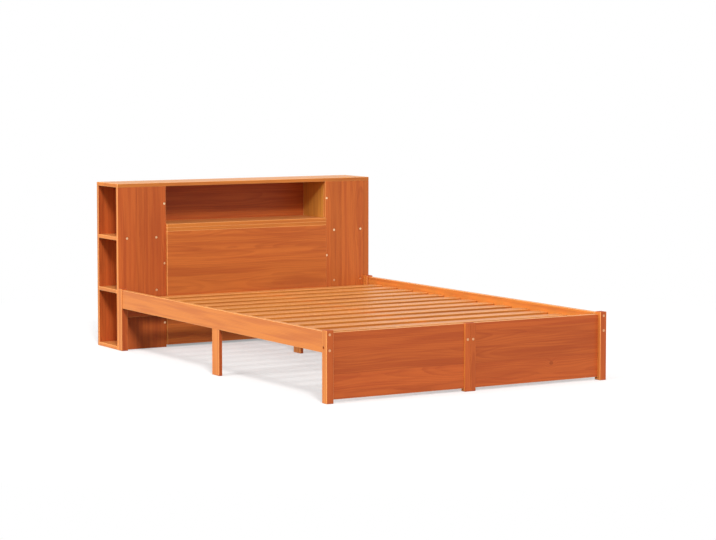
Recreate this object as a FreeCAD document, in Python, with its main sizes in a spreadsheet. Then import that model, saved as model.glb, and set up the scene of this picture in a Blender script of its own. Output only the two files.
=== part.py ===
import FreeCAD, Part

import os
import re

import Sketcher

# A wooden bed frame with a bookcase headboard. X runs across the bed, Y from foot to head and
# Z up. The origin is on the floor under the middle of the whole frame. All sizes in millimetres.

SIZES = (
    ("bed_wide", 1455, "outer width over the posts and over the bookcase"),
    ("bed_long", 2330, "whole length, foot posts to the back of the bookcase"),
    ("edge_round", 2, "easing of every board edge"),
    ("post_wide", 34, "corner posts across the bed"),
    ("post_deep", 40, "corner posts along the bed"),
    ("post_high", 310, "corner posts above the floor"),
    ("foot_panel_thick", 18, "footboard panels"),
    ("foot_panel_recess", 18, "panel face behind the front of the corner posts"),
    ("foot_panel_drop", 11, "panel top below the post tops"),
    ("foot_panel_lift", 14, "panel bottom above the floor"),
    ("foot_dowel_edge", 45, "panel dowels from the panel's top and bottom"),
    ("side_screw_share", 0.35, "side screw of a foot post, from its lower bolt up to its upper dowel"),
    ("side_screw_sunk", 8, "head of a foot post's side screw below the post's side"),
    ("middle_post_wide", 28, "each of the two middle posts across the bed"),
    ("middle_post_deep", 30, "middle posts along the bed"),
    ("middle_dowel_low", 110, "lower dowel between the middle posts, above the floor"),
    ("middle_dowel_high", 190, "upper dowel between the middle posts, above the floor"),
    ("rail_thick", 24, "side rails"),
    ("rail_inset", 3, "rail face behind the outer side of the posts"),
    ("rail_high", 91, "side rails, bottom to top"),
    ("rail_drop", 6, "rail top below the post tops"),
    ("rail_bolt_edge", 12, "foot bolts from the rail's top and bottom edges"),
    ("head_bolt_spacing", 38, "between the two bolts at each head post"),
    ("post_screw_low", 60, "lower screw into each head post, above the floor"),
    ("post_screw_high", 150, "upper screw into each head post, above the floor"),
    ("slat_drop", 33, "slat tops below the rail tops"),
    ("slat_thick", 15, "slats"),
    ("slat_wide", 70, "slats along the bed"),
    ("slat_side_gap", 2, "between a slat's end and the rail"),
    ("slat_count", 13, "number of slats"),
    ("ledger_thick", 20, "battens inside the rails, across the bed"),
    ("ledger_high", 30, "battens inside the rails, bottom to top"),
    ("ledger_end_gap", 60, "between a batten's end and the rail's end"),
    ("beam_wide", 66, "centre beam across the bed"),
    ("beam_high", 56, "centre beam, bottom to top"),
    ("cleat_wide", 120, "block under the beam's head end, across the bed"),
    ("cleat_deep", 30, "block under the beam's head end, along the bed"),
    ("cleat_high", 30, "block under the beam's head end, bottom to top"),
    ("cleat_screw_place", 45, "block screws from the bed's middle"),
    ("leg_thick", 18, "legs across the bed"),
    ("leg_wide", 68, "legs along the bed"),
    ("leg_dowel_edge", 15, "leg dowels from the leg's edges"),
    ("mid_leg_place", 1026, "middle of the side legs from the foot posts' front"),
    ("centre_leg_place", 500, "middle of each centre leg from its end of the beam"),
    ("crossbar_thick", 25, "bar between the head posts, along the bed"),
    ("crossbar_high", 90, "bar between the head posts, bottom to top"),
    ("crossbar_dowel_edge", 16, "crossbar dowels from its top and bottom"),
    ("crossbar_screw_near", 180, "inner crossbar screws from the bed's middle"),
    ("crossbar_screw_far", 400, "outer crossbar screws from the bed's middle"),
    ("case_high", 830, "bookcase above the floor"),
    ("case_deep", 250, "bookcase, front panels to back"),
    ("board_thick", 18, "bookcase boards"),
    ("front_panel_wide", 266, "each side cabinet's front panel"),
    ("lower_shelf_place", 283, "underside of the lower shelves above the floor"),
    ("upper_shelf_place", 548, "underside of the upper shelves above the floor"),
    ("shelf_screw_outer", 51, "shelf screws from the bookcase's outer side"),
    ("shelf_screw_inner", 54, "shelf screws from the front panel's inner edge"),
    ("shelf_dowel_edge", 60, "shelf dowels from the front and back boards"),
    ("partition_screw_drop", 105, "top partition screw below the bookcase top"),
    ("partition_screw_step", 300, "between the partition screws"),
    ("partition_screw_count", 3, "screws up each partition"),
    ("niche_high", 190, "clear height of the middle niche"),
    ("niche_proud", 12, "niche shelf and headboard in front of the front panels"),
    ("niche_screw_near", 150, "inner niche screws and dowels from the bed's middle"),
    ("niche_screw_side", 81.5, "outer niche screws and dowels from the niche's side"),
    ("cap_deep", 60, "bar under the niche shelf, front to back"),
    ("headboard_lift", 12, "headboard and middle back board above the floor"),
    ("bolt_radius", 3, "frame bolts"),
    ("bolt_head_radius", 6, "frame bolt heads"),
    ("bolt_head_thick", 4, "frame bolt heads"),
    ("bolt_past_nut", 8, "bolt end past the middle of its nut"),
    ("nut_radius", 5, "barrel nuts"),
    ("nut_long", 14, "barrel nuts"),
    ("nut_from_end", 35, "barrel nut from the end of its rail or beam"),
    ("screw_radius", 2.5, "case screws"),
    ("screw_head_radius", 6, "case screw heads"),
    ("screw_head_thick", 3, "case screw heads"),
    ("screw_long", 50, "case screws"),
    ("batten_screw_radius", 2, "batten and slat screws"),
    ("batten_head_radius", 3.8, "batten and slat screw heads"),
    ("batten_head_thick", 2.5, "batten and slat screw heads"),
    ("batten_screw_long", 38, "batten and slat screws"),
    ("socket_radius", 2.2, "six-sided sockets in the heads, over the corners"),
    ("socket_deep", 1.8, "six-sided sockets in the heads"),
    ("head_bevel", 0.5, "bevel round the ends of bolts, screws, nuts and dowels"),
    ("dowel_radius", 4, "wooden dowels"),
    ("dowel_long", 40, "wooden dowels"),
    ("dowel_shallow", 11, "dowel depth in the face of a board"),
    ("fit_gap", 0.1, "round every bolt, screw, nut and dowel"),
    ("end_gap", 0.5, "past the end of every bolt, screw, nut and dowel"),
    ("cut_overrun", 5, "how far each cut starts outside its board"),
)

document = FreeCAD.newDocument("storage_bed_frame")
sheet = document.addObject("Spreadsheet::Sheet", "Sizes")
for row, (alias, size, meaning) in enumerate(SIZES, 1):
    sheet.set(f"A{row}", alias)
    sheet.set(f"B{row}", str(size))
    sheet.set(f"C{row}", meaning)
    sheet.setAlias(f"B{row}", alias)
document.recompute()

# Planes that the pieces share, as sums of the sizes. The left side of the bed is described, and
# the right side mirrors it.

LEFT = "(-bed_wide / 2)"
FOOT = "(-bed_long / 2)"
HEAD = "(bed_long / 2)"
FLOOR = "0"
MIDDLE = "0"

CASE_FRONT = f"({HEAD} - case_deep)"
PANEL_BACK = f"({CASE_FRONT} + board_thick)"
BACK_FACE = f"({HEAD} - board_thick)"
TOP_UNDER = "(case_high - board_thick)"
NICHE_SIDE = f"({LEFT} + front_panel_wide)"
CABINET_SIDE = f"({NICHE_SIDE} - board_thick)"
NICHE_FRONT = f"({CASE_FRONT} - niche_proud)"
NICHE_FLOOR = f"({TOP_UNDER} - niche_high)"
NICHE_UNDER = f"({NICHE_FLOOR} - board_thick)"
CAP_UNDER = f"({NICHE_UNDER} - board_thick)"

RAIL_FOOT = f"({FOOT} + post_deep)"
RAIL_HEAD = f"({CASE_FRONT} - post_deep)"
RAIL_OUTER = f"({LEFT} + rail_inset)"
RAIL_INNER = f"({RAIL_OUTER} + rail_thick)"
RAIL_MIDDLE = f"({RAIL_OUTER} + rail_thick / 2)"
RAIL_TOP = "(post_high - rail_drop)"
RAIL_BOTTOM = f"({RAIL_TOP} - rail_high)"

SLAT_TOP = f"({RAIL_TOP} - slat_drop)"
SLAT_UNDER = f"({SLAT_TOP} - slat_thick)"
BEAM_UNDER = f"({SLAT_UNDER} - beam_high)"
BEAM_MIDDLE = f"({SLAT_UNDER} - beam_high / 2)"
CROSSBAR_FRONT = f"({NICHE_FRONT} - crossbar_thick)"
CROSSBAR_UNDER = f"({SLAT_UNDER} - crossbar_high)"

FOOT_PANEL_FRONT = f"({FOOT} + foot_panel_recess)"
FOOT_PANEL_MIDDLE = f"({FOOT_PANEL_FRONT} + foot_panel_thick / 2)"
FOOT_PANEL_TOP = "(post_high - foot_panel_drop)"
POST_INNER = f"({LEFT} + post_wide)"

SOCKET_SIDES = 6
FULL_TURN = 360

faces = {}
bodies = {}
central = set()
cuts = {}
pieces = []


def bound(text):
    """A sum of size names, with each name looked up in the sheet."""
    return re.sub(r"[a-z]+(?:_[a-z]+)+", r"Sizes.\g<0>", text)


def measure(text):
    """The value of a sum of size names."""
    return float(sheet.evalExpression(bound(text)))


def attach(sketch, body, role):
    """Lay a sketch on one of its body's own origin planes."""
    plane = [feature for feature in body.Origin.OriginFeatures if feature.Role == role][0]
    sketch.AttachmentSupport = [(plane, "")]
    sketch.MapMode = "FlatFace"


def fix(sketch, kind, geometry, text):
    """A sketch dimension that follows the sheet."""
    index = sketch.addConstraint(Sketcher.Constraint(kind, *geometry, measure(text)))
    sketch.setExpression(f"Constraints[{index}]", bound(text))


def rectangle(sketch, wide, deep):
    """A rectangle from the sketch's origin."""
    corners = [(0, 0), (measure(wide), 0), (measure(wide), measure(deep)), (0, measure(deep))]
    points = [FreeCAD.Vector(x, y, 0) for x, y in corners]
    sides = [Part.LineSegment(points[n], points[(n + 1) % 4]) for n in range(4)]
    sketch.addGeometry(sides, False)
    rules = [Sketcher.Constraint("Coincident", n, 2, (n + 1) % 4, 1) for n in range(4)]
    rules += [Sketcher.Constraint("Horizontal", n) for n in (0, 2)]
    rules += [Sketcher.Constraint("Vertical", n) for n in (1, 3)]
    rules.append(Sketcher.Constraint("Coincident", 0, 1, -1, 1))
    sketch.addConstraint(rules)
    fix(sketch, "DistanceX", (0, 1, 0, 2), wide)
    fix(sketch, "DistanceY", (1, 1, 1, 2), deep)


def board(name, x, y, z, middle=False):
    """A planed board with eased edges between two planes along each axis. A middle board is its
    own mirror image, and every other board is on the left and has a twin on the right."""
    body = document.addObject("PartDesign::Body", name)
    body.Label = name
    for axis, (low, high) in zip("xyz", (x, y, z)):
        body.setExpression(f"Placement.Base.{axis}", bound(low))
    wide, deep, tall = (f"({high}) - ({low})" for low, high in (x, y, z))
    outline = body.newObject("Sketcher::SketchObject", f"{name}_outline")
    attach(outline, body, "XY_Plane")
    rectangle(outline, wide, deep)
    blank = body.newObject("PartDesign::Pad", f"{name}_blank")
    blank.Profile = outline
    blank.setExpression("Length", bound(tall))
    eased = body.newObject("PartDesign::Fillet", f"{name}_eased")
    eased.Base = (blank, [""])
    eased.UseAllEdges = True
    eased.setExpression("Radius", bound("edge_round"))
    faces[name] = {"x": x, "y": y, "z": z}
    bodies[name] = body
    pieces.append(body)
    if middle:
        central.add(name)


# For each drilling direction: the plane that is sketched on, the two directions in the sketch
# and which way the plane's normal points.
DRILLING = {
    "x": ("YZ_Plane", "yz", 1),
    "y": ("XZ_Plane", "xz", -1),
    "z": ("XY_Plane", "xy", 1),
}


def drill(name, along, way, start, depth, radius, spots):
    """Equal round holes in a board, along one axis from a start plane."""
    body = bodies[name]
    plane, across, normal = DRILLING[along]
    number = len(body.Group)
    sketch = body.newObject("Sketcher::SketchObject", f"{name}_spots_{number}")
    attach(sketch, body, plane)
    lift = f"({start}) - ({faces[name][along][0]}) - ({way}) * cut_overrun"
    sketch.setExpression("AttachmentOffset.Base.z", bound(f"({normal}) * ({lift})"))
    for spot in spots:
        first, second = (f"({place}) - ({faces[name][axis][0]})" for axis, place in zip(across, spot))
        centre = FreeCAD.Vector(measure(first), measure(second), 0)
        circle = Part.Circle(centre, FreeCAD.Vector(0, 0, 1), measure(radius))
        index = sketch.addGeometry(circle, False)
        fix(sketch, "DistanceX", (-1, 1, index, 3), first)
        fix(sketch, "DistanceY", (-1, 1, index, 3), second)
        fix(sketch, "Radius", (index,), radius)
    hole = body.newObject("PartDesign::Pocket", f"{name}_holes_{number}")
    hole.Profile = sketch
    hole.Reversed = way == normal
    hole.setExpression("Length", bound(f"({depth}) + cut_overrun"))


def bore(name, along, way, start, depth, radius, spots, both_sides=True):
    """Note holes in a board, and their mirror images where the board crosses the bed's middle."""
    cuts.setdefault((name, along, way, start, depth, radius), []).extend(spots)
    if name not in central or not both_sides:
        return
    if along == "x":
        cuts.setdefault((name, along, -way, f"-({start})", depth, radius), []).extend(spots)
    else:
        far_spots = [(f"-({across})", other) for across, other in spots]
        cuts[name, along, way, start, depth, radius].extend(far_spots)


def near(name, along, way):
    """The face of a board that a fastener meets first."""
    return faces[name][along][0 if way > 0 else 1]


def far(name, along, way):
    """The face of a board that a fastener meets last."""
    return faces[name][along][1 if way > 0 else 0]


def run(start, end, way):
    """The distance from one plane to another along a fastener."""
    return f"(({end}) - ({start}))" if way > 0 else f"(({start}) - ({end}))"


class Fastener:
    """One kind of bolt or screw, with the stations where it is driven."""

    def __init__(self, label, shank, head, head_thick, length):
        self.label = label
        self.shank = shank
        self.head = head
        self.head_thick = head_thick
        self.length = length
        self.stations = []

    def drive(self, boards, along, way, spots, both_sides=True, sunk="0"):
        """Put the fastener through the first boards into the last one, and bore them for it."""
        first, last = boards[0], boards[-1]
        face = near(first, along, way)
        start = f"({face} + ({way}) * {sunk})"
        hole = f"{self.shank} + fit_gap"
        seat = f"{self.head} + fit_gap"
        bore(first, along, way, face, f"{self.head_thick} + {sunk}", seat, spots, both_sides)
        for name in boards[:-1]:
            entry = near(name, along, way)
            depth = run(entry, far(name, along, way), way) + " + cut_overrun"
            bore(name, along, way, entry, depth, hole, spots, both_sides)
        entry = near(last, along, way)
        depth = f"{self.length} - {run(start, entry, way)} + end_gap"
        bore(last, along, way, entry, depth, hole, spots, both_sides)
        note_stations(self.stations, along, way, start, spots, both_sides)

    def solid(self):
        """The fastener along Z from the top of its head, with a six-sided socket."""
        head, shank = measure(self.head), measure(self.shank)
        thick, length = measure(self.head_thick), measure(self.length)
        bevel = measure("head_bevel")
        outline = [
            (0, 0), (head - bevel, 0), (head, bevel), (head, thick), (shank, thick),
            (shank, length - bevel), (shank - bevel, length), (0, length),
        ]
        socket = Part.makePolygon([socket_corner(n) for n in range(SOCKET_SIDES + 1)])
        through = FreeCAD.Vector(0, 0, measure("socket_deep + cut_overrun"))
        return turned(outline).cut(Part.Face(socket).extrude(through))

    def make(self):
        group(self.label, self.solid(), self.stations)


def socket_corner(number):
    """A corner of the socket's outline, on a plane above the head."""
    turn = FreeCAD.Rotation(FreeCAD.Vector(0, 0, 1), FULL_TURN * number / SOCKET_SIDES)
    return turn.multVec(FreeCAD.Vector(measure("socket_radius"), 0, -measure("cut_overrun")))


def turned(outline):
    """A solid turned about Z from its outline of radii and heights."""
    points = [FreeCAD.Vector(radius, 0, height) for radius, height in outline]
    profile = Part.Face(Part.makePolygon(points + points[:1]))
    return profile.revolve(FreeCAD.Vector(0, 0, 0), FreeCAD.Vector(0, 0, 1), FULL_TURN)


def note_stations(stations, along, way, start, spots, both_sides=True):
    """Write down where a fastener sits on the left, and its mirror image on the right."""
    for first, second in spots:
        place = {axis: measure(text) for axis, text in zip(DRILLING[along][1], (first, second))}
        place[along] = measure(start)
        point = FreeCAD.Vector(place["x"], place["y"], place["z"])
        pointing = FreeCAD.Vector(*(way if axis == along else 0 for axis in "xyz"))
        stations.append((point, pointing))
        if both_sides:
            stations.append((across_bed(point), across_bed(pointing)))


def across_bed(vector):
    """A vector's mirror image on the other side of the bed."""
    return FreeCAD.Vector(-vector.x, vector.y, vector.z)


def group(label, solid, stations):
    """Equal fasteners as separate solids of one piece."""
    copies = []
    for point, pointing in stations:
        copy = solid.copy()
        copy.Placement = FreeCAD.Placement(point, FreeCAD.Rotation(FreeCAD.Vector(0, 0, 1), pointing))
        copies.append(copy)
    feature = document.addObject("Part::Feature", label)
    feature.Shape = Part.makeCompound(copies)
    feature.Label = label
    pieces.append(feature)


DOWEL_BORE = "dowel_radius + fit_gap"
dowel_stations = []


def dowel(boards, along, way, reach, spots, both_sides=True):
    """Wooden dowels through a joint, that reach a given depth into the last board."""
    first, last = boards[0], boards[-1]
    joint = near(last, along, way)
    start = f"({joint}) - ({way}) * (dowel_long - ({reach}))"
    face = far(first, along, way)
    bore(first, along, -way, face, f"{run(start, face, way)} + end_gap", DOWEL_BORE, spots, both_sides)
    for name in boards[1:-1]:
        entry = near(name, along, way)
        depth = run(entry, far(name, along, way), way) + " + cut_overrun"
        bore(name, along, way, entry, depth, DOWEL_BORE, spots, both_sides)
    bore(last, along, way, joint, f"{reach} + end_gap", DOWEL_BORE, spots, both_sides)
    note_stations(dowel_stations, along, way, start, spots, both_sides)


# Footboard: two corner posts, two panels and two narrow posts side by side in the middle.

MIDDLE_POST_OUTER = "(-middle_post_wide)"
MIDDLE_POST_CENTRE = "(-middle_post_wide / 2)"
FOOT_BACK = RAIL_FOOT

board("foot_post_left", (LEFT, POST_INNER), (FOOT, FOOT_BACK), (FLOOR, "post_high"))
board(
    "foot_middle_post_left",
    (MIDDLE_POST_OUTER, MIDDLE),
    (f"{FOOT_BACK} - middle_post_deep", FOOT_BACK),
    (FLOOR, FOOT_PANEL_TOP),
)
board(
    "foot_panel_left",
    (POST_INNER, MIDDLE_POST_OUTER),
    (FOOT_PANEL_FRONT, f"{FOOT_PANEL_FRONT} + foot_panel_thick"),
    ("foot_panel_lift", FOOT_PANEL_TOP),
)

# Side rails with a batten inside each, and a leg under the middle of each.

MID_LEG = f"({FOOT} + mid_leg_place)"

board("side_rail_left", (RAIL_OUTER, RAIL_INNER), (RAIL_FOOT, RAIL_HEAD), (RAIL_BOTTOM, RAIL_TOP))
board(
    "slat_ledger_left",
    (RAIL_INNER, f"{RAIL_INNER} + ledger_thick"),
    (f"{RAIL_FOOT} + ledger_end_gap", f"{RAIL_HEAD} - ledger_end_gap"),
    (f"{SLAT_UNDER} - ledger_high", SLAT_UNDER),
)
board(
    "mid_leg_left",
    (RAIL_OUTER, f"{RAIL_OUTER} + leg_thick"),
    (f"{MID_LEG} - leg_wide / 2", f"{MID_LEG} + leg_wide / 2"),
    (FLOOR, RAIL_BOTTOM),
)

# Head of the bed: two posts against the bookcase and a bar between them.

board("head_post_left", (LEFT, POST_INNER), (RAIL_HEAD, CASE_FRONT), (FLOOR, "post_high"))
board(
    "head_crossbar",
    (POST_INNER, f"-{POST_INNER}"),
    (CROSSBAR_FRONT, NICHE_FRONT),
    (CROSSBAR_UNDER, SLAT_UNDER),
    middle=True,
)

# Centre beam on two legs, with a block under its head end.

board(
    "centre_beam",
    ("-beam_wide / 2", "beam_wide / 2"),
    (FOOT_BACK, CROSSBAR_FRONT),
    (BEAM_UNDER, SLAT_UNDER),
    middle=True,
)
board(
    "beam_cleat",
    ("-cleat_wide / 2", "cleat_wide / 2"),
    (f"{CROSSBAR_FRONT} - cleat_deep", CROSSBAR_FRONT),
    (f"{BEAM_UNDER} - cleat_high", BEAM_UNDER),
    middle=True,
)

CENTRE_LEGS = {
    "centre_leg_foot": f"({FOOT_BACK} + centre_leg_place)",
    "centre_leg_head": f"({CROSSBAR_FRONT} - centre_leg_place)",
}
for leg_name, leg_place in CENTRE_LEGS.items():
    board(
        leg_name,
        ("-leg_thick / 2", "leg_thick / 2"),
        (f"{leg_place} - leg_wide / 2", f"{leg_place} + leg_wide / 2"),
        (FLOOR, BEAM_UNDER),
        middle=True,
    )

# Slats, evenly spaced between the footboard and the crossbar.

slat_count = int(measure("slat_count"))
SLAT_GAP = f"(({run(FOOT_BACK, CROSSBAR_FRONT, 1)} - slat_count * slat_wide) / (slat_count + 1))"


def slat_start(number):
    """The foot side of a slat, counted from one at the foot."""
    return f"({FOOT_BACK} + {number} * {SLAT_GAP} + {number - 1} * slat_wide)"


slats = {f"slat_{number:02d}": slat_start(number) for number in range(1, slat_count + 1)}
for slat_name, slat_place in slats.items():
    board(
        slat_name,
        (f"{RAIL_INNER} + slat_side_gap", f"-({RAIL_INNER} + slat_side_gap)"),
        (slat_place, f"{slat_place} + slat_wide"),
        (SLAT_UNDER, SLAT_TOP),
        middle=True,
    )

# Bookcase: a cabinet at each side, open on its outer end, with two shelves, and between them an
# open niche over the headboard.

CABINET = (LEFT, CABINET_SIDE)
INSIDE = (PANEL_BACK, BACK_FACE)
NICHE = (NICHE_SIDE, f"-{NICHE_SIDE}")

board("front_panel_left", (LEFT, NICHE_SIDE), (CASE_FRONT, PANEL_BACK), (FLOOR, TOP_UNDER))
board("back_board_left", (LEFT, NICHE_SIDE), (BACK_FACE, HEAD), (FLOOR, TOP_UNDER))
board("partition_left", (CABINET_SIDE, NICHE_SIDE), INSIDE, (FLOOR, TOP_UNDER))

CABINET_BOARDS = {
    "bottom_board_left": FLOOR,
    "lower_shelf_left": "lower_shelf_place",
    "upper_shelf_left": "upper_shelf_place",
}
for shelf_name, shelf_under in CABINET_BOARDS.items():
    board(shelf_name, CABINET, INSIDE, (shelf_under, f"{shelf_under} + board_thick"))

board("niche_shelf", NICHE, (NICHE_FRONT, BACK_FACE), (NICHE_UNDER, NICHE_FLOOR), middle=True)
board(
    "headboard_cap",
    NICHE,
    (NICHE_FRONT, f"{NICHE_FRONT} + cap_deep"),
    (CAP_UNDER, NICHE_UNDER),
    middle=True,
)
board(
    "headboard_panel",
    NICHE,
    (NICHE_FRONT, f"{NICHE_FRONT} + board_thick"),
    ("headboard_lift", CAP_UNDER),
    middle=True,
)
board("back_board_middle", NICHE, (BACK_FACE, HEAD), ("headboard_lift", TOP_UNDER), middle=True)
board("top_board", (LEFT, f"-{LEFT}"), (CASE_FRONT, HEAD), (TOP_UNDER, "case_high"), middle=True)

# Frame bolts, with barrel nuts across the rails and up into the beam.

BOLT = ("bolt_radius", "bolt_head_radius", "bolt_head_thick")
BOLT_END = "nut_from_end + bolt_past_nut"
BOLT_LOW = f"({RAIL_BOTTOM} + rail_bolt_edge)"
BOLT_HIGH = f"({RAIL_TOP} - rail_bolt_edge)"
HEAD_BOLT_HIGH = f"({BOLT_LOW} + head_bolt_spacing)"

foot_bolts = Fastener("foot_bolts", *BOLT, f"(post_deep + {BOLT_END})")
foot_spots = [(RAIL_MIDDLE, BOLT_LOW), (RAIL_MIDDLE, BOLT_HIGH)]
foot_bolts.drive(["foot_post_left", "side_rail_left"], "y", 1, foot_spots)
middle_bolts = Fastener("middle_bolts", *BOLT, f"(middle_post_deep + {BOLT_END})")
middle_spots = [(MIDDLE_POST_CENTRE, BEAM_MIDDLE)]
middle_bolts.drive(["foot_middle_post_left", "centre_beam"], "y", 1, middle_spots)
head_bolts = Fastener("head_bolts", *BOLT, f"(board_thick + post_deep + {BOLT_END})")
head_spots = [(RAIL_MIDDLE, BOLT_LOW), (RAIL_MIDDLE, HEAD_BOLT_HIGH)]
head_bolts.drive(["front_panel_left", "head_post_left", "side_rail_left"], "y", -1, head_spots)

NUT_FOOT = f"({RAIL_FOOT} + nut_from_end)"
NUT_HEAD = f"({RAIL_HEAD} - nut_from_end)"
RAIL_NUTS = [
    (NUT_FOOT, BOLT_LOW), (NUT_FOOT, BOLT_HIGH), (NUT_HEAD, BOLT_LOW), (NUT_HEAD, HEAD_BOLT_HIGH),
]
BEAM_NUTS = [(MIDDLE_POST_CENTRE, NUT_FOOT)]

NUT_BORE = "nut_radius + fit_gap"
NUT_PAST_BOLT = "nut_long / 2 + end_gap"
bore("side_rail_left", "x", -1, RAIL_INNER, f"rail_thick / 2 + {NUT_PAST_BOLT}", NUT_BORE, RAIL_NUTS)
bore("centre_beam", "z", 1, BEAM_UNDER, f"beam_high / 2 + {NUT_PAST_BOLT}", NUT_BORE, BEAM_NUTS)


def barrel_nut():
    """A short cylinder along Z from its lower end, with a hole for its bolt across the middle."""
    radius, length = measure("nut_radius"), measure("nut_long")
    bevel = measure("head_bevel")
    outline = [
        (0, 0), (radius - bevel, 0), (radius, bevel),
        (radius, length - bevel), (radius - bevel, length), (0, length),
    ]
    reach = measure("nut_radius + cut_overrun")
    hole_start = FreeCAD.Vector(0, -reach, length / 2)
    hole_radius = measure("bolt_radius + fit_gap")
    hole = Part.makeCylinder(hole_radius, 2 * reach, hole_start, FreeCAD.Vector(0, 1, 0))
    return turned(outline).cut(hole)


nut_stations = []
note_stations(nut_stations, "x", -1, f"{RAIL_MIDDLE} + nut_long / 2", RAIL_NUTS)
note_stations(nut_stations, "z", 1, f"{BEAM_MIDDLE} - nut_long / 2", BEAM_NUTS)

# Case screws: the bookcase, the posts and the block under the beam.

CASE_SCREW = ("screw_radius", "screw_head_radius", "screw_head_thick", "screw_long")
SHELF_EDGES = (f"({LEFT} + shelf_screw_outer)", f"({NICHE_SIDE} - shelf_screw_inner)")
PARTITION_MIDDLE = f"({NICHE_SIDE} - board_thick / 2)"
PARTITION_SCREWS = [
    (PARTITION_MIDDLE, f"case_high - partition_screw_drop - {step} * partition_screw_step")
    for step in range(int(measure("partition_screw_count")))
]
NICHE_SHELF_MIDDLE = f"({NICHE_FLOOR} - board_thick / 2)"
NICHE_PLACES = ("(-niche_screw_near)", f"({NICHE_SIDE} + niche_screw_side)")
FRONT_AND_BACK = (f"({PANEL_BACK} + shelf_dowel_edge)", f"({BACK_FACE} - shelf_dowel_edge)")


def shelf_middle(name):
    """The height of the middle of a cabinet board."""
    return f"({CABINET_BOARDS[name]} + board_thick / 2)"


front_panel_screws = Fastener("front_panel_screws", *CASE_SCREW)
for shelf_name in ("lower_shelf_left", "upper_shelf_left"):
    shelf_spots = [(edge, shelf_middle(shelf_name)) for edge in SHELF_EDGES]
    front_panel_screws.drive(["front_panel_left", shelf_name], "y", 1, shelf_spots)
front_panel_screws.drive(["front_panel_left", "partition_left"], "y", 1, PARTITION_SCREWS)

back_screws = Fastener("back_screws", *CASE_SCREW)
for shelf_name in CABINET_BOARDS:
    shelf_spots = [(edge, shelf_middle(shelf_name)) for edge in SHELF_EDGES]
    back_screws.drive(["back_board_left", shelf_name], "y", -1, shelf_spots)
back_screws.drive(["back_board_left", "partition_left"], "y", -1, PARTITION_SCREWS)
niche_spots = [(place, NICHE_SHELF_MIDDLE) for place in NICHE_PLACES]
back_screws.drive(["back_board_middle", "niche_shelf"], "y", -1, niche_spots)

case_screws = Fastener("case_screws", *CASE_SCREW)
niche_end_spots = [(place, NICHE_SHELF_MIDDLE) for place in FRONT_AND_BACK]
case_screws.drive(["partition_left", "niche_shelf"], "x", 1, niche_end_spots)
post_spots = [(f"{LEFT} + post_wide / 2", height) for height in ("post_screw_low", "post_screw_high")]
case_screws.drive(["front_panel_left", "head_post_left"], "y", -1, post_spots)
FOOT_DOWEL_HIGH = f"({FOOT_PANEL_TOP} - foot_dowel_edge)"
side_spots = [(FOOT_PANEL_MIDDLE, f"{BOLT_LOW} + side_screw_share * ({FOOT_DOWEL_HIGH} - {BOLT_LOW})")]
case_screws.drive(["foot_post_left", "foot_panel_left"], "x", 1, side_spots, sunk="side_screw_sunk")
cleat_back_spot = ("-cleat_screw_place", f"{BEAM_UNDER} - cleat_high / 2")
cleat_top_spot = (MIDDLE, f"{CROSSBAR_FRONT} - cleat_deep / 2")
case_screws.drive(["beam_cleat", "head_crossbar"], "y", 1, [cleat_back_spot])
case_screws.drive(["beam_cleat", "centre_beam"], "z", 1, [cleat_top_spot], both_sides=False)

# Shorter screws: the battens and the crossbar, and then the slats.

BATTEN_SCREW = ("batten_screw_radius", "batten_head_radius", "batten_head_thick", "batten_screw_long")
LEDGER_MIDDLE = f"({SLAT_UNDER} - ledger_high / 2)"
LEDGER_CENTRE = f"({RAIL_INNER} + ledger_thick / 2)"
CROSSBAR_MIDDLE = f"({SLAT_UNDER} - crossbar_high / 2)"

batten_screws = Fastener("batten_screws", *BATTEN_SCREW)
# The battens are screwed to the rails in the gap before every second slat.
batten_spots = [
    (f"{slat_start(number)} - {SLAT_GAP} / 2", LEDGER_MIDDLE) for number in range(2, slat_count + 1, 2)
]
batten_screws.drive(["slat_ledger_left", "side_rail_left"], "x", -1, batten_spots)
crossbar_spots = [(f"-crossbar_screw_{place}", CROSSBAR_MIDDLE) for place in ("near", "far")]
batten_screws.drive(["head_crossbar", "headboard_panel"], "y", 1, crossbar_spots)

slat_screws = Fastener("slat_screws", *BATTEN_SCREW)
for slat_name, slat_place in slats.items():
    slat_centre = f"{slat_place} + slat_wide / 2"
    slat_screws.drive([slat_name, "slat_ledger_left"], "z", -1, [(LEDGER_CENTRE, slat_centre)])
    slat_screws.drive([slat_name, "centre_beam"], "z", -1, [("-beam_wide / 4", slat_centre)])

# Wooden dowels.

HALF = "dowel_long / 2"
DEEP = "dowel_long - dowel_shallow"
FOOT_PANEL_SPOTS = [
    (FOOT_PANEL_MIDDLE, "foot_panel_lift + foot_dowel_edge"),
    (FOOT_PANEL_MIDDLE, FOOT_DOWEL_HIGH),
]
dowel(["foot_post_left", "foot_panel_left"], "x", 1, HALF, FOOT_PANEL_SPOTS)
dowel(["foot_panel_left", "foot_middle_post_left"], "x", 1, HALF, FOOT_PANEL_SPOTS)

# The dowels between the middle posts lie across the bed's middle, half in each post.
POST_DEPTH = f"{FOOT_BACK} - middle_post_deep / 2"
MIDDLE_POST_SPOTS = [(POST_DEPTH, "middle_dowel_low"), (POST_DEPTH, "middle_dowel_high")]
bore("foot_middle_post_left", "x", -1, MIDDLE, f"{HALF} + end_gap", DOWEL_BORE, MIDDLE_POST_SPOTS)
note_stations(dowel_stations, "x", 1, f"-{HALF}", MIDDLE_POST_SPOTS, both_sides=False)

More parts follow.
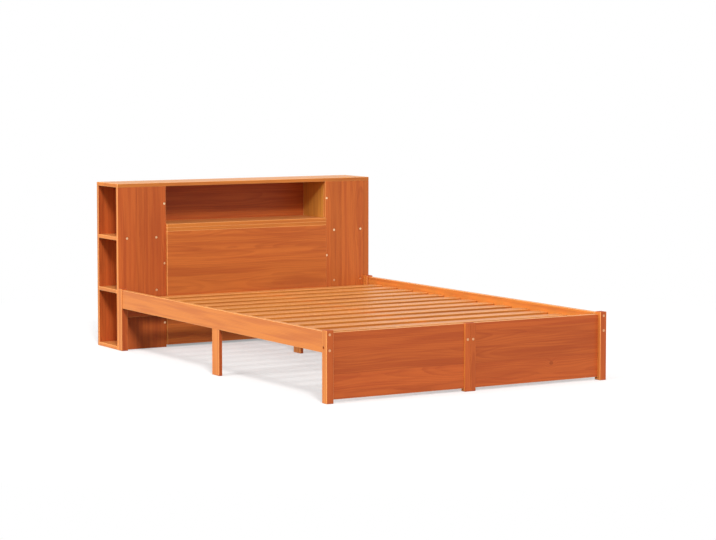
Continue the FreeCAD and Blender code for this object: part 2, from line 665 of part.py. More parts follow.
LEG_DOWEL = "(leg_wide / 2 - leg_dowel_edge)"
mid_leg_spots = [(f"{RAIL_OUTER} + leg_thick / 2", f"{MID_LEG} {sign} {LEG_DOWEL}") for sign in "-+"]
dowel(["mid_leg_left", "side_rail_left"], "z", 1, HALF, mid_leg_spots)
for leg_name, leg_place in CENTRE_LEGS.items():
    leg_spots = [(MIDDLE, f"{leg_place} {sign} {LEG_DOWEL}") for sign in "-+"]
    dowel([leg_name, "centre_beam"], "z", 1, HALF, leg_spots, both_sides=False)

CROSSBAR_DEPTH = f"{NICHE_FRONT} - crossbar_thick / 2"
CROSSBAR_SPOTS = [
    (CROSSBAR_DEPTH, f"{CROSSBAR_UNDER} + crossbar_dowel_edge"),
    (CROSSBAR_DEPTH, f"{SLAT_UNDER} - crossbar_dowel_edge"),
]
dowel(["head_post_left", "head_crossbar"], "x", 1, HALF, CROSSBAR_SPOTS)

for shelf_name in CABINET_BOARDS:
    shelf_spots = [(place, shelf_middle(shelf_name)) for place in FRONT_AND_BACK]
    dowel([shelf_name, "partition_left"], "x", 1, "dowel_shallow", shelf_spots)
bottom_spots = [(edge, shelf_middle("bottom_board_left")) for edge in SHELF_EDGES]
dowel(["front_panel_left", "bottom_board_left"], "y", 1, DEEP, bottom_spots)

PANEL_DEPTH = f"{CASE_FRONT} + board_thick / 2"
BACK_DEPTH = f"{HEAD} - board_thick / 2"
TOP_JOINTS = {
    "partition_left": [(PARTITION_MIDDLE, place) for place in FRONT_AND_BACK],
    "front_panel_left": [(edge, PANEL_DEPTH) for edge in SHELF_EDGES],
    "back_board_left": [(edge, BACK_DEPTH) for edge in SHELF_EDGES],
    "back_board_middle": [(place, BACK_DEPTH) for place in NICHE_PLACES],
}
for upright, joint_spots in TOP_JOINTS.items():
    dowel([upright, "top_board"], "z", 1, "dowel_shallow", joint_spots)
headboard_spots = [(place, f"{NICHE_FRONT} + board_thick / 2") for place in NICHE_PLACES]
HEADBOARD_REACH = "(dowel_long - board_thick) / 2"
dowel(["niche_shelf", "headboard_cap", "headboard_panel"], "z", -1, HEADBOARD_REACH, headboard_spots)

# Holes that start on one plane and go equally deep are drilled together.

for hole_set, hole_spots in cuts.items():
    drill(*hole_set, hole_spots)

# Right-hand twins of the left-hand pieces.

for name in [name for name in bodies if name not in central]:
    twin_name = name.replace("_left", "_right")
    twin = document.addObject("Part::Mirroring", twin_name)
    twin.Label = twin_name
    twin.Source = bodies[name]
    twin.Normal = FreeCAD.Vector(1, 0, 0)
    pieces.append(twin)

for fastener in (
    foot_bolts, middle_bolts, head_bolts, front_panel_screws, back_screws, case_screws,
    batten_screws, slat_screws,
):
    fastener.make()
group("barrel_nuts", barrel_nut(), nut_stations)


def wooden_dowel():
    """A dowel along Z from its lower end."""
    radius, length = measure("dowel_radius"), measure("dowel_long")
    bevel = measure("head_bevel")
    return turned([
        (0, 0), (radius - bevel, 0), (radius, bevel),
        (radius, length - bevel), (radius - bevel, length), (0, length),
    ])


group("wooden_dowels", wooden_dowel(), dowel_stations)

document.recompute()

# Every feature has to be sound, every hole has to take wood away and every piece has to be a
# valid shape before anything is written.

for feature in document.Objects:
    if {"Invalid", "Error"} & set(feature.State):
        raise RuntimeError(f"{feature.Label} failed: {feature.State}")
    if feature.TypeId == "PartDesign::Pocket":
        if feature.Shape.Volume >= feature.BaseFeature.Shape.Volume:
            raise RuntimeError(f"{feature.Label} takes nothing away")
for piece in pieces:
    if piece.Shape.isNull() or not piece.Shape.isValid():
        raise RuntimeError(f"{piece.Label} has no valid shape")

os.makedirs("parts", exist_ok=True)
for piece in pieces:
    piece.Shape.exportStep(f"parts/{piece.Label}.step")
print(len(pieces), "pieces written")
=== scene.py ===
import math
from collections import namedtuple

import bpy
from mathutils import Matrix, Vector


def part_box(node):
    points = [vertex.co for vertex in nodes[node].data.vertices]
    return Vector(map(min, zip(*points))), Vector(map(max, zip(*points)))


# A bed frame of orange-brown stained pine with a bookcase headboard, on a pale studio floor.
# X runs across the bed, Y from foot to head and Z up. Lengths are in metres, angles in degrees.

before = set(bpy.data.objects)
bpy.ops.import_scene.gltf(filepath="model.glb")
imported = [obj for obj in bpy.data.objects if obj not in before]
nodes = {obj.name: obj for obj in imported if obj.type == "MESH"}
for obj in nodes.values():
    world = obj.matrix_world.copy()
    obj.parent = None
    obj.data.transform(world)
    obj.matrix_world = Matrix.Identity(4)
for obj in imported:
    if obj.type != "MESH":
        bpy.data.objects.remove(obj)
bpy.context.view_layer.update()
scene = bpy.context.scene


# Camera, set from the photograph. Pixels are those of its frame.

PHOTO_WIDE = 716
PHOTO_HIGH = 540
FOCAL_PIXELS = 2227.4
CENTRE_ACROSS = 344.7
CENTRE_DOWN = 236.5
CAMERA_PLACE = Vector((-5.339, -9.175, 1.403))
CAMERA_YAW = -30.397
CAMERA_PITCH = 4.321
SENSOR_MILLIMETRES = 36


def add_camera():
    """The photograph's viewpoint. Its principal point lies off the middle, which the shift follows."""
    data = bpy.data.cameras.new("camera")
    data.sensor_width = SENSOR_MILLIMETRES
    data.lens = FOCAL_PIXELS * SENSOR_MILLIMETRES / PHOTO_WIDE
    data.shift_x = (PHOTO_WIDE / 2 - CENTRE_ACROSS) / PHOTO_WIDE
    data.shift_y = (CENTRE_DOWN - PHOTO_HIGH / 2) / PHOTO_WIDE
    camera = bpy.data.objects.new("camera", data)
    camera.location = CAMERA_PLACE
    camera.rotation_euler = (math.radians(90 - CAMERA_PITCH), 0, math.radians(CAMERA_YAW))
    scene.collection.objects.link(camera)
    scene.camera = camera


# Nodes. A value given to an input is another node's output, or a plain number, vector or colour.

def feed(tree, socket, value):
    """Link an output to an input, or set the input to a plain value."""
    if isinstance(value, bpy.types.NodeSocket):
        tree.links.new(value, socket)
    else:
        socket.default_value = value


def node(tree, kind, settings=None, **inputs):
    """A node with its settings, and its inputs by name, with an underscore for each space."""
    made = tree.nodes.new(kind)
    for name, value in (settings or {}).items():
        setattr(made, name, value)
    for name, value in inputs.items():
        feed(tree, made.inputs[name.replace("_", " ")], value)
    return made


def operate(tree, kind, operation, values):
    """A node that works out one sum, with its inputs in order."""
    made = node(tree, kind, {"operation": operation})
    for socket, value in zip(made.inputs, values):
        feed(tree, socket, value)
    return made


def maths(tree, operation, *values):
    """One sum on numbers."""
    return operate(tree, "ShaderNodeMath", operation, values).outputs[0]


def vector_maths(tree, operation, *values):
    """One sum on vectors."""
    made = operate(tree, "ShaderNodeVectorMath", operation, values)
    return made.outputs["Value" if operation in ("LENGTH", "DOT_PRODUCT") else "Vector"]


def between(tree, share, low, high):
    """A share from 0 to 1 taken evenly to a range."""
    return maths(tree, "MULTIPLY_ADD", share, high - low, low)


def ramp(tree, value, low, high, to_low=0, to_high=1):
    """A value taken smoothly from one range to another."""
    made = node(
        tree, "ShaderNodeMapRange", {"interpolation_type": "SMOOTHSTEP"},
        Value=value, From_Min=low, From_Max=high, To_Min=to_low, To_Max=to_high,
    )
    return made.outputs["Result"]


def blend(tree, share, first, second):
    """Two colours, mixed by a share of the second."""
    made = node(tree, "ShaderNodeMix", {"data_type": "RGBA"})
    feed(tree, made.inputs["Factor"], share)
    feed(tree, made.inputs["A"], first)
    feed(tree, made.inputs["B"], second)
    return made.outputs["Result"]


def same(tree, value):
    """A vector with the same number three times."""
    return node(tree, "ShaderNodeCombineXYZ", X=value, Y=value, Z=value).outputs[0]


def grain_noise(tree, place, waves, detail, shift):
    """A smooth noise from 0 to 1, with a number of waves in a metre along X and another across it."""
    along, across = waves
    scaled = vector_maths(tree, "MULTIPLY", place, (along, across, across))
    shifted = vector_maths(tree, "ADD", scaled, shift)
    return node(tree, "ShaderNodeTexNoise", Vector=shifted, Scale=1, Detail=detail).outputs["Fac"]


def random_parts(tree, *numbers):
    """Three random numbers for a set of three whole numbers."""
    place = node(tree, "ShaderNodeCombineXYZ")
    for socket, number in zip(place.inputs, numbers):
        feed(tree, socket, number)
    noise = node(tree, "ShaderNodeTexWhiteNoise", {"noise_dimensions": "3D"}, Vector=place.outputs[0])
    parts = node(tree, "ShaderNodeSeparateColor", Color=noise.outputs["Color"])
    return parts.outputs[0], parts.outputs[1], parts.outputs[2]


# Finishes, and what they share.

def linear(red, green, blue):
    """A colour written as on a screen, from 0 to 255, turned to light by the sRGB curve."""
    light = []
    for part in (red, green, blue):
        seen = part / 255
        light.append(seen / 12.92 if seen < 0.04045 else ((seen + 0.055) / 1.055) ** 2.4)
    return (*light, 1)


def new_finish(name):
    """A new material, with its node tree and its shader."""
    material = bpy.data.materials.new(name)
    material.use_nodes = True
    tree = material.node_tree
    return material, tree, tree.nodes["Principled BSDF"]


def object_place(tree):
    """Where a point lies on its object, in metres."""
    return tree.nodes.new("ShaderNodeTexCoord").outputs["Object"]


def add_bump(tree, shader, height, strength, depth):
    """A relief too fine to be modelled."""
    bump = node(tree, "ShaderNodeBump", Height=height, Strength=strength, Distance=depth)
    feed(tree, shader.inputs["Normal"], bump.outputs[0])


# The figure of pine: staves cut from logs, with growth rings round each log's heart, knots that
# push the rings aside, streaks and fine fibre. Its place has the grain along X, the board's width
# along Y and its thickness along Z, from the board's middle. Waves of a noise are given as along
# the grain and across it.

STAVES_APART = 40
SEAM_HALF = 0.0006
STREAK_WAVES = (2.1, 46)
FIBRE_WAVES = (16, 560)

# The heart of a stave's log lies within the spread from side to side, and from near to far in the
# board's depth, where it wanders along the grain.

HEART_SPREAD = 0.13
HEART_NEAR = 0.018
HEART_FAR = 0.075
HEART_WANDER = 0.026
WANDER_WAVES = (1.7, 0)

# Rings bend with the warp. Shares of a ring say where its late wood starts, is full and fades.

RING_WARP = 0.011
WARP_WAVES = (3.2, 22)
LATE_START = 0.25
LATE_FULL = 0.86
LATE_FADES = 0.92
WEAKEST_YEAR = 0.45

# A knot lies at a place in its length of the stave, and to the side by up to the reach, a share of
# the stave's width. It is drawn out along the grain. Its ranges are in radii from its middle.

KNOT_PITCH = 0.34
KNOT_STAGGER = 7
KNOT_PLACES = (0.2, 0.8)
KNOT_DRAWN_OUT = 0.8
KNOT_REACH = 0.32
KNOT_SMALL = 0.0035
KNOT_LARGE = 0.0085
KNOT_UNEVEN = 0.0016
KNOT_WAVES = (90, 90)
KNOT_PUSH = 0.009
KNOT_FADES = (0.75, 1.05)
RIM_DARKENS = (0.7, 1.05)
RIM_FADES = (1.05, 1.5)
PUSH_FADES = (0.6, 4.5)


def pine_figure():
    """A node group that gives the figure at a place in a board."""
    tree = bpy.data.node_groups.new("pine figure", "ShaderNodeTree")
    sockets = tree.interface
    sockets.new_socket("Place", in_out="INPUT", socket_type="NodeSocketVector")
    for name in ("Stave", "Ring", "Knots", "Seed"):
        sockets.new_socket(name, in_out="INPUT", socket_type="NodeSocketFloat")
    for name in ("Late", "Streak", "Tone", "Fibre", "Knot", "Knot Rim", "Seam"):
        sockets.new_socket(name, in_out="OUTPUT", socket_type="NodeSocketFloat")
    given = tree.nodes.new("NodeGroupInput").outputs
    result = tree.nodes.new("NodeGroupOutput").inputs
    place = given["Place"]
    along, across, deep = node(tree, "ShaderNodeSeparateXYZ", Vector=place).outputs

    # Which stave this is, and how far from the middle of it.
    stave = maths(tree, "ROUND", maths(tree, "DIVIDE", across, given["Stave"]))
    inside = maths(tree, "SUBTRACT", across, maths(tree, "MULTIPLY", stave, given["Stave"]))
    first, second, third = random_parts(tree, stave, given["Seed"], 0)
    drawn = node(tree, "ShaderNodeCombineXYZ", X=first, Y=second, Z=third).outputs[0]
    shift = vector_maths(tree, "MULTIPLY", drawn, (STAVES_APART, STAVES_APART, STAVES_APART))

    # Knots, at most one in each length of a stave.
    lengths = maths(tree, "DIVIDE", along, KNOT_PITCH)
    lengths = maths(tree, "ADD", lengths, maths(tree, "MULTIPLY", first, KNOT_STAGGER))
    cell = maths(tree, "FLOOR", lengths)
    knot_along, knot_across, knot_rare = random_parts(tree, cell, stave, given["Seed"])
    knot_middle = ramp(tree, knot_along, 0, 1, *KNOT_PLACES)
    from_along = maths(tree, "SUBTRACT", maths(tree, "FRACT", lengths), knot_middle)
    from_along = maths(tree, "MULTIPLY", from_along, KNOT_PITCH * KNOT_DRAWN_OUT)
    reach = maths(tree, "MULTIPLY", given["Stave"], KNOT_REACH)
    knot_side = maths(tree, "MULTIPLY", between(tree, knot_across, -1, 1), reach)
    from_across = maths(tree, "SUBTRACT", inside, knot_side)
    from_knot = node(tree, "ShaderNodeCombineXYZ", X=from_along, Y=from_across).outputs[0]
    uneven = grain_noise(tree, place, KNOT_WAVES, 1, shift)
    uneven = maths(tree, "MULTIPLY", uneven, KNOT_UNEVEN)
    knot_away = maths(tree, "ADD", vector_maths(tree, "LENGTH", from_knot), uneven)
    there = maths(tree, "LESS_THAN", knot_rare, given["Knots"])
    radius = ramp(tree, knot_across, 0, 1, KNOT_SMALL, KNOT_LARGE)
    radii = maths(tree, "DIVIDE", knot_away, radius)
    knot = maths(tree, "MULTIPLY", ramp(tree, radii, *KNOT_FADES, 1, 0), there)
    rim_in = ramp(tree, radii, *RIM_DARKENS)
    rim_out = ramp(tree, radii, *RIM_FADES, 1, 0)
    knot_rim = maths(tree, "MULTIPLY", maths(tree, "MULTIPLY", rim_in, rim_out), there)
    push = maths(tree, "MULTIPLY", ramp(tree, radii, *PUSH_FADES, KNOT_PUSH, 0), there)

    # Growth rings round the heart of the log, which wanders along the stave.
    heart_across = maths(tree, "MULTIPLY", maths(tree, "SUBTRACT", first, 0.5), HEART_SPREAD)
    heart_deep = ramp(tree, second, 0, 1, -HEART_NEAR, -HEART_FAR)
    wander = maths(tree, "SUBTRACT", grain_noise(tree, place, WANDER_WAVES, 1, shift), 0.5)
    wander = maths(tree, "MULTIPLY", wander, HEART_WANDER * 2)
    from_heart = node(
        tree, "ShaderNodeCombineXYZ",
        X=maths(tree, "SUBTRACT", inside, heart_across),
        Y=maths(tree, "SUBTRACT", deep, maths(tree, "ADD", heart_deep, wander)),
    )
    distance = vector_maths(tree, "LENGTH", from_heart.outputs[0])
    warp = grain_noise(tree, place, WARP_WAVES, 2, shift)
    distance = maths(tree, "ADD", distance, maths(tree, "MULTIPLY", warp, RING_WARP))
    distance = maths(tree, "ADD", distance, push)
    rings = maths(tree, "DIVIDE", distance, given["Ring"])
    grown = maths(tree, "FRACT", rings)
    year, _, _ = random_parts(tree, maths(tree, "FLOOR", rings), stave, given["Seed"])
    darkening = ramp(tree, grown, LATE_START, LATE_FULL)
    ending = ramp(tree, grown, LATE_FADES, 1, 1, 0)
    strength = between(tree, year, WEAKEST_YEAR, 1)
    late = maths(tree, "MULTIPLY", maths(tree, "MULTIPLY", darkening, ending), strength)

    # Glue lines between the staves.
    half = maths(tree, "MULTIPLY", given["Stave"], 0.5)
    from_seam = maths(tree, "SUBTRACT", half, maths(tree, "ABSOLUTE", inside))
    seam = ramp(tree, from_seam, 0, SEAM_HALF, 1, 0)

    feed(tree, result["Late"], late)
    feed(tree, result["Streak"], grain_noise(tree, place, STREAK_WAVES, 2, shift))
    feed(tree, result["Tone"], third)
    feed(tree, result["Fibre"], grain_noise(tree, place, FIBRE_WAVES, 2, shift))
    feed(tree, result["Knot"], knot)
    feed(tree, result["Knot Rim"], knot_rim)
    feed(tree, result["Seam"], seam)
    return tree


# Colours of the stained pine as on a screen, for wood grown early and late in the year, and how
# strongly each part of the figure shows.

EARLY_WOOD = linear(186, 91, 42)
LATE_WOOD = linear(152, 65, 31)
DARK_STREAK = linear(166, 74, 35)
KNOT_WOOD = linear(98, 36, 14)
KNOT_EDGE = linear(72, 26, 10)
GLUE_LINE = linear(120, 46, 18)
STREAK_RANGE = (0.38, 0.68)
STREAK_SHOWS = 0.8
LATE_SHOWS = 0.42
EDGE_SHOWS = 0.3
KNOT_SHOWS = 0.35
GLUE_SHOWS = 0.45
TONES = (0.93, 1.09)
FIBRE_TONES = (0.92, 1.08)


def pine_colour(tree, drawn):
    """Rings and streaks, the tone of the stave, fibre, knots and glue lines."""
    streak = ramp(tree, drawn["Streak"], *STREAK_RANGE, 0, STREAK_SHOWS)
    colour = blend(tree, streak, EARLY_WOOD, DARK_STREAK)
    colour = blend(tree, maths(tree, "MULTIPLY", drawn["Late"], LATE_SHOWS), colour, LATE_WOOD)
    tone = between(tree, drawn["Tone"], *TONES)
    fibre = between(tree, drawn["Fibre"], *FIBRE_TONES)
    colour = vector_maths(tree, "MULTIPLY", colour, same(tree, maths(tree, "MULTIPLY", tone, fibre)))
    marks = (
        ("Knot Rim", EDGE_SHOWS, KNOT_EDGE),
        ("Knot", KNOT_SHOWS, KNOT_WOOD),
        ("Seam", GLUE_SHOWS, GLUE_LINE),
    )
    for mark, shows, dark in marks:
        colour = blend(tree, maths(tree, "MULTIPLY", drawn[mark], shows), colour, dark)
    return colour


# The stain is golden on the edges of a board, partly the wood's own tone and partly a painted highlight
# of the lit sides. Eased edges are lightened, partly worn stain and partly a painted highlight, and the
# tops of pieces whose grain lies get a painted highlight, partly also worn stain. The stain soaks into
# the ends of those whose grain stands. Ranges are of how squarely a face looks along an axis, from 0 to
# 1.

# A pale worn stain, also used as a painted highlight on eased edges and tops.
WORN_STAIN_AND_HIGHLIGHT = linear(244, 178, 108)
END_STAIN = linear(150, 62, 26)
END_SHOWS = 0.5
# Golden tone of lit sides and edges: partly the wood's own, partly a painted highlight.
GOLDEN = (0.14, 0.78, 0.5)
EDGE_GOLD = 0.95
# Up-facing faces lightened: a painted highlight, partly also worn stain.
TOP_WEAR_AND_HIGHLIGHT = 0.3
SQUARE = (0.8, 0.98)
EASED = (0.8, 0.995)
NEAR_END = (0.25, 0.6)
NEAR_EDGE = (0.7, 0.95)

AXES = {"x": Vector((1, 0, 0)), "y": Vector((0, 1, 0)), "z": Vector((0, 0, 1))}


def squareness(tree, normal, axis):
    """How squarely a face looks along an axis, either way."""
    return maths(tree, "ABSOLUTE", vector_maths(tree, "DOT_PRODUCT", normal, tuple(AXES[axis])))


def stained(tree, colour, cut):
    """The colour under its stain, with painted highlights on eased edges and tops, and how far the face
    is an end of the board.
    """
    normal = node(tree, "ShaderNodeNewGeometry").outputs["True Normal"]
    to_end = squareness(tree, normal, cut.grain)
    to_edge = squareness(tree, normal, cut.width)
    sides = node(tree, "ShaderNodeSeparateXYZ", Vector=vector_maths(tree, "ABSOLUTE", normal))
    flattest = maths(tree, "MAXIMUM", sides.outputs[0], sides.outputs[1])
    flattest = maths(tree, "MAXIMUM", flattest, sides.outputs[2])
    # Eased edges lightened: worn stain and a painted highlight.
    rubbed = ramp(tree, flattest, *EASED, cut.rubbed, 0)
    end = ramp(tree, to_end, *SQUARE)
    stands = cut.grain == "z"
    if stands:
        rubbed = maths(tree, "MULTIPLY", rubbed, ramp(tree, to_end, *NEAR_END, 1, 0))
    else:
        to_edge = maths(tree, "MAXIMUM", to_edge, to_end)
        # A painted highlight on up-facing faces, partly also worn stain.
        up = vector_maths(tree, "DOT_PRODUCT", normal, tuple(AXES["z"]))
        rubbed = maths(tree, "MAXIMUM", rubbed, ramp(tree, up, *SQUARE, 0, TOP_WEAR_AND_HIGHLIGHT))
    # Golden edges and boards: partly the wood's tone, partly a painted highlight.
    gold = ramp(tree, to_edge, *NEAR_EDGE, cut.gold, EDGE_GOLD)
    golden = vector_maths(tree, "MULTIPLY", colour, GOLDEN)
    colour = vector_maths(tree, "ADD", colour, vector_maths(tree, "MULTIPLY", golden, same(tree, gold)))
    if stands:
        colour = blend(tree, maths(tree, "MULTIPLY", end, END_SHOWS), colour, END_STAIN)
    return blend(tree, rubbed, colour, WORN_STAIN_AND_HIGHLIGHT), end


# A satin finish that lets the fibre and the harder late wood be felt. Ends are rougher.

PINE_ROUGH = (0.36, 0.48)
END_ROUGHER = 0.15
PINE_SHINE = 0.2
LATE_RISES = 0.5
FIBRE_RISES = 0.5
PINE_BUMP = 0.35
PINE_DEPTH = 0.00035

PINE_FIGURE = pine_figure()


def place_in_board(tree, name, cut):
    """The place from the middle of a board, with X along its grain and Y along its width."""
    low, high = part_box(name)
    turn = Matrix((AXES[cut.grain], AXES[cut.width], AXES[cut.grain].cross(AXES[cut.width])))
    mapping = node(tree, "ShaderNodeMapping", Vector=object_place(tree))
    mapping.inputs["Rotation"].default_value = turn.to_euler()
    mapping.inputs["Location"].default_value = -(turn @ ((low + high) / 2))
    return mapping.outputs[0]


def stained_pine(name, cut, seed):
    """The finish of one board, with the figure that its cut and its seed give."""
    material, tree, shader = new_finish(f"stained pine {name}")
    place = place_in_board(tree, name, cut)
    figure = node(
        tree, "ShaderNodeGroup", {"node_tree": PINE_FIGURE},
        Place=place, Stave=cut.stave, Ring=cut.ring, Knots=cut.knots, Seed=seed,
    )
    drawn = figure.outputs
    colour, end = stained(tree, pine_colour(tree, drawn), cut)
    feed(tree, shader.inputs["Base Color"], colour)
    rough = between(tree, drawn["Fibre"], *PINE_ROUGH)
    feed(tree, shader.inputs["Roughness"], maths(tree, "MULTIPLY_ADD", end, END_ROUGHER, rough))
    shader.inputs["Specular IOR Level"].default_value = PINE_SHINE
    relief = maths(tree, "MULTIPLY", drawn["Fibre"], FIBRE_RISES)
    relief = maths(tree, "MULTIPLY_ADD", drawn["Late"], LATE_RISES, relief)
    relief = maths(tree, "SUBTRACT", relief, drawn["Seam"])
    add_bump(tree, shader, relief, PINE_BUMP, PINE_DEPTH)
    return material


# How each kind of board is cut: the axes of its grain and its width, the widths of its staves and
# its rings, the share of lengths that have a knot, the gold of its broad faces, partly the stain's tone
# and partly a painted highlight, and how far its eased edges are lightened by worn stain and a painted
# highlight. A solid piece lies well inside one stave.

Cut = namedtuple("Cut", "grain width stave ring knots gold rubbed")

SOLID = 1
WIDE_STAVE = 0.0665
BACK_STAVE = 0.0985
SHELF_STAVE = 0.062
PANEL_STAVE = 0.0713
FINE_RING = 0.0042
PLAIN_RING = 0.0056
COARSE_RING = 0.0072
CLEAR = 0
SOME_KNOTS = 0.06
KNOTTY = 0.2
# How far eased edges are lightened, by worn stain and a painted highlight.
EDGE_WEAR_AND_HIGHLIGHT = 0.9
PLAIN_EDGES = 0

POST = Cut("z", "x", SOLID, FINE_RING, CLEAR, 0, EDGE_WEAR_AND_HIGHLIGHT)
SHELF = Cut("y", "x", SHELF_STAVE, PLAIN_RING, SOME_KNOTS, 0.6, EDGE_WEAR_AND_HIGHLIGHT)

CUTS = {
    "top_board": Cut("x", "y", 0.0625, PLAIN_RING, CLEAR, 1.2, EDGE_WEAR_AND_HIGHLIGHT),
    "front_panel_left": Cut("z", "x", WIDE_STAVE, PLAIN_RING, CLEAR, 0.1, EDGE_WEAR_AND_HIGHLIGHT),
    "front_panel_right": Cut("z", "x", WIDE_STAVE, PLAIN_RING, CLEAR, 0.3, EDGE_WEAR_AND_HIGHLIGHT),
    "back_board_middle": Cut("x", "z", BACK_STAVE, COARSE_RING, CLEAR, 0.2, EDGE_WEAR_AND_HIGHLIGHT),
    "back_board": Cut("z", "x", WIDE_STAVE, COARSE_RING, KNOTTY, 0, EDGE_WEAR_AND_HIGHLIGHT),
    "partition": Cut("z", "y", PANEL_STAVE, PLAIN_RING, CLEAR, 2.4, EDGE_WEAR_AND_HIGHLIGHT),
    "bottom_board": SHELF,
    "lower_shelf": SHELF,
    "upper_shelf": SHELF,
    "niche_shelf": Cut("x", "y", 0.061, FINE_RING, CLEAR, 0.6, EDGE_WEAR_AND_HIGHLIGHT),
    "headboard_cap": Cut("x", "y", SOLID, FINE_RING, CLEAR, 0.6, EDGE_WEAR_AND_HIGHLIGHT),
    "headboard_panel": Cut("x", "z", 0.0724, COARSE_RING, CLEAR, 0.4, EDGE_WEAR_AND_HIGHLIGHT),
    "head_post": POST,
    "foot_post": POST,
    "foot_middle_post": POST._replace(rubbed=PLAIN_EDGES),
    "foot_panel": Cut("x", "z", PANEL_STAVE, PLAIN_RING, SOME_KNOTS, 0, EDGE_WEAR_AND_HIGHLIGHT),
    "side_rail": Cut("y", "z", SOLID, PLAIN_RING, SOME_KNOTS, 0.9, EDGE_WEAR_AND_HIGHLIGHT),
    "slat_ledger": Cut("y", "z", SOLID, FINE_RING, CLEAR, 0.3, EDGE_WEAR_AND_HIGHLIGHT),
    "centre_beam": Cut("y", "x", SOLID, PLAIN_RING, SOME_KNOTS, 0, EDGE_WEAR_AND_HIGHLIGHT),
    "head_crossbar": Cut("x", "z", SOLID, PLAIN_RING, SOME_KNOTS, 0, EDGE_WEAR_AND_HIGHLIGHT),
    "beam_cleat": Cut("x", "y", SOLID, PLAIN_RING, CLEAR, 0, EDGE_WEAR_AND_HIGHLIGHT),
    "mid_leg": POST,
    "centre_leg": POST,
    "slat": Cut("x", "y", SOLID, PLAIN_RING, KNOTTY, 0.8, EDGE_WEAR_AND_HIGHLIGHT),
}


def cut_of(name):
    """How a board is cut, by the longest name that its own begins with."""
    kinds = [kind for kind in CUTS if name.startswith(kind)]
    return CUTS[max(kinds, key=len)]


# Zinc on the steel, faintly spotted: yellow on bolts and barrel nuts, brighter on screws.

BOLTS = ("foot_bolts", "middle_bolts", "head_bolts", "barrel_nuts")
SCREWS = ("front_panel_screws", "back_screws", "case_screws", "batten_screws", "slat_screws")
YELLOW_ZINC = (linear(240, 184, 138), linear(216, 158, 114))
BRIGHT_ZINC = (linear(255, 226, 184), linear(244, 208, 164))
ZINC_WAVES = 900
ZINC_ROUGH = (0.2, 0.4)
ZINC_BUMP = 0.2
ZINC_DEPTH = 0.00005


def zinc(name, bright, dull):
    """Zinc-plated steel in two colours."""
    material, tree, shader = new_finish(name)
    noise = node(tree, "ShaderNodeTexNoise", Vector=object_place(tree), Scale=ZINC_WAVES, Detail=3)
    spots = noise.outputs["Fac"]
    feed(tree, shader.inputs["Base Color"], blend(tree, spots, bright, dull))
    feed(tree, shader.inputs["Roughness"], between(tree, spots, *ZINC_ROUGH))
    shader.inputs["Metallic"].default_value = 1
    add_bump(tree, shader, spots, ZINC_BUMP, ZINC_DEPTH)
    return material


# Unfinished beech with its short dark flecks, which lie across the bed in most dowels.

BEECH_WOOD = linear(222, 186, 142)
BEECH_FLECK = linear(176, 130, 88)
FLECK_WAVES = (120, 900)
FLECK_RANGE = (0.52, 0.66)
BEECH_ROUGH = (0.62, 0.72)
BEECH_BUMP = 0.2
BEECH_DEPTH = 0.0001


def raw_beech():
    """The finish of the dowels."""
    material, tree, shader = new_finish("raw beech")
    noise = grain_noise(tree, object_place(tree), FLECK_WAVES, 2, (0, 0, 0))
    flecks = ramp(tree, noise, *FLECK_RANGE)
    feed(tree, shader.inputs["Base Color"], blend(tree, flecks, BEECH_WOOD, BEECH_FLECK))
    feed(tree, shader.inputs["Roughness"], between(tree, flecks, *BEECH_ROUGH))
    add_bump(tree, shader, flecks, BEECH_BUMP, BEECH_DEPTH)
    return material


def finish_pieces():
    """Give every piece its finish."""
    yellow_zinc = zinc("yellow zinc plated steel", *YELLOW_ZINC)
    bright_zinc = zinc("bright zinc plated steel", *BRIGHT_ZINC)
    beech = raw_beech()
    for seed, name in enumerate(sorted(nodes), 1):
        if name in BOLTS:
            material = yellow_zinc
        elif name in SCREWS:
            material = bright_zinc
        elif name == "wooden_dowels":
            material = beech
        else:
            material = stained_pine(name, cut_of(name), seed)
        for slot in nodes[name].material_slots:
            slot.material = material


# Stage: a pale floor that fades to the white of the world, so that no horizon shows.

WHITE = (1, 1, 1, 1)
FLOOR_RADIUS = 40
FLOOR_SIDES = 128
FLOOR_DROP = 0.0005
FADE_START = 1.5
FADE_END = 3.4
FLOOR_LIGHTS = (0.3, 0.3, 0.3, 1)
FLOOR_SHOWS = (0.97, 0.97, 0.97, 1)
FLOOR_GLOW = 0.35
FLOOR_ROUGH = 0.9
FLOOR_SHINE = 0.1
AMBIENT = 0.7

# Lamps by name: the way that each points, its strength and its angle.

LAMPS = {
    "from the foot": ((0.279, 0.781, -0.558), 2.2, 10),
    "from the left": ((0.968, 0, -0.25), 2.8, 25),
}


def seen_directly(tree):
    """One for a ray from the camera, a mirror or glass, and zero for a ray that lights."""
    path = tree.nodes.new("ShaderNodeLightPath").outputs
    seen = maths(tree, "MAXIMUM", path["Is Camera Ray"], path["Is Glossy Ray"])
    return maths(tree, "MAXIMUM", seen, path["Is Transmission Ray"])


def show_mixed(tree, output, share, first, second):
    """Send two shaders to the output, mixed by a share of the second."""
    mixed = node(tree, "ShaderNodeMixShader", Fac=share)
    tree.links.new(first.outputs[0], mixed.inputs[1])
    tree.links.new(second.outputs[0], mixed.inputs[2])
    tree.links.new(mixed.outputs[0], tree.nodes[output].inputs["Surface"])


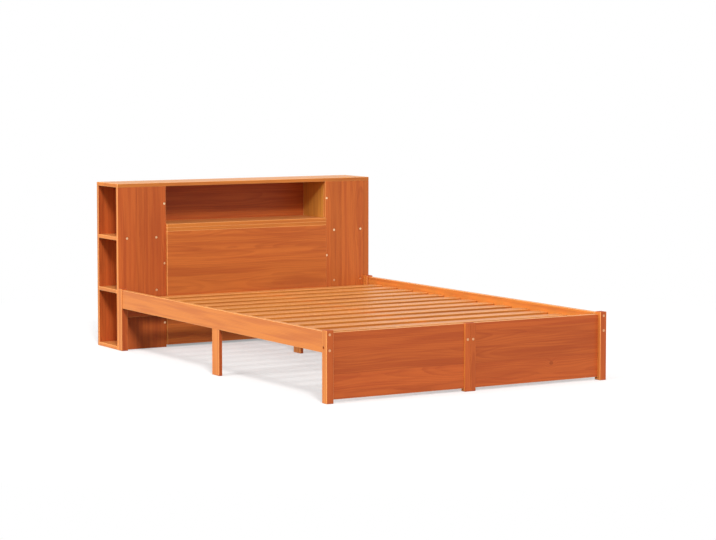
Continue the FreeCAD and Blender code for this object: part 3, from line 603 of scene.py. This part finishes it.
def floor_material():
    """Pale and matt near the bed, where it keeps a light shadow, and plain white far from it.

    It throws less light back than its look would.
    """
    material, tree, shader = new_finish("studio floor")
    seen = seen_directly(tree)
    feed(tree, shader.inputs["Base Color"], blend(tree, seen, FLOOR_LIGHTS, FLOOR_SHOWS))
    shader.inputs["Roughness"].default_value = FLOOR_ROUGH
    shader.inputs["Specular IOR Level"].default_value = FLOOR_SHINE
    white = node(tree, "ShaderNodeEmission", Color=WHITE, Strength=1)
    away = vector_maths(tree, "LENGTH", object_place(tree))
    fade = maths(tree, "MULTIPLY", ramp(tree, away, FADE_START, FADE_END, FLOOR_GLOW, 1), seen)
    show_mixed(tree, "Material Output", fade, shader, white)
    return material


def add_floor():
    """A wide round floor just under the feet."""
    bpy.ops.object.select_all(action="DESELECT")
    bpy.ops.mesh.primitive_circle_add(vertices=FLOOR_SIDES, radius=FLOOR_RADIUS, fill_type="NGON")
    floor = bpy.context.active_object
    floor.name = "floor"
    floor.data.transform(Matrix.Translation((0, 0, -FLOOR_DROP)))
    floor.data.materials.append(floor_material())


def set_world(ambient):
    """A soft even light all round, seen as plain white."""
    world = bpy.data.worlds.new("studio")
    scene.world = world
    world.use_nodes = True
    tree = world.node_tree
    soft = tree.nodes["Background"]
    feed(tree, soft.inputs["Color"], WHITE)
    feed(tree, soft.inputs["Strength"], ambient)
    white = node(tree, "ShaderNodeBackground", Color=WHITE, Strength=1)
    show_mixed(tree, "World Output", seen_directly(tree), soft, white)


def add_wide_lamp(name, pointing, strength, angle):
    """A lamp far away and as wide as a given angle, so that it lights the whole bed evenly.

    Mirrored rays pass it by, so it makes no glare on the satin wood.
    """
    data = bpy.data.lights.new(name, "SUN")
    data.energy = strength
    data.angle = math.radians(angle)
    lamp = bpy.data.objects.new(name, data)
    lamp.rotation_euler = Vector(pointing).to_track_quat("-Z", "Y").to_euler()
    lamp.visible_glossy = False
    scene.collection.objects.link(lamp)


add_camera()
finish_pieces()
add_floor()
set_world(AMBIENT)
for lamp_name, lamp_settings in LAMPS.items():
    add_wide_lamp(lamp_name, *lamp_settings)
scene.view_settings.view_transform = "Standard"
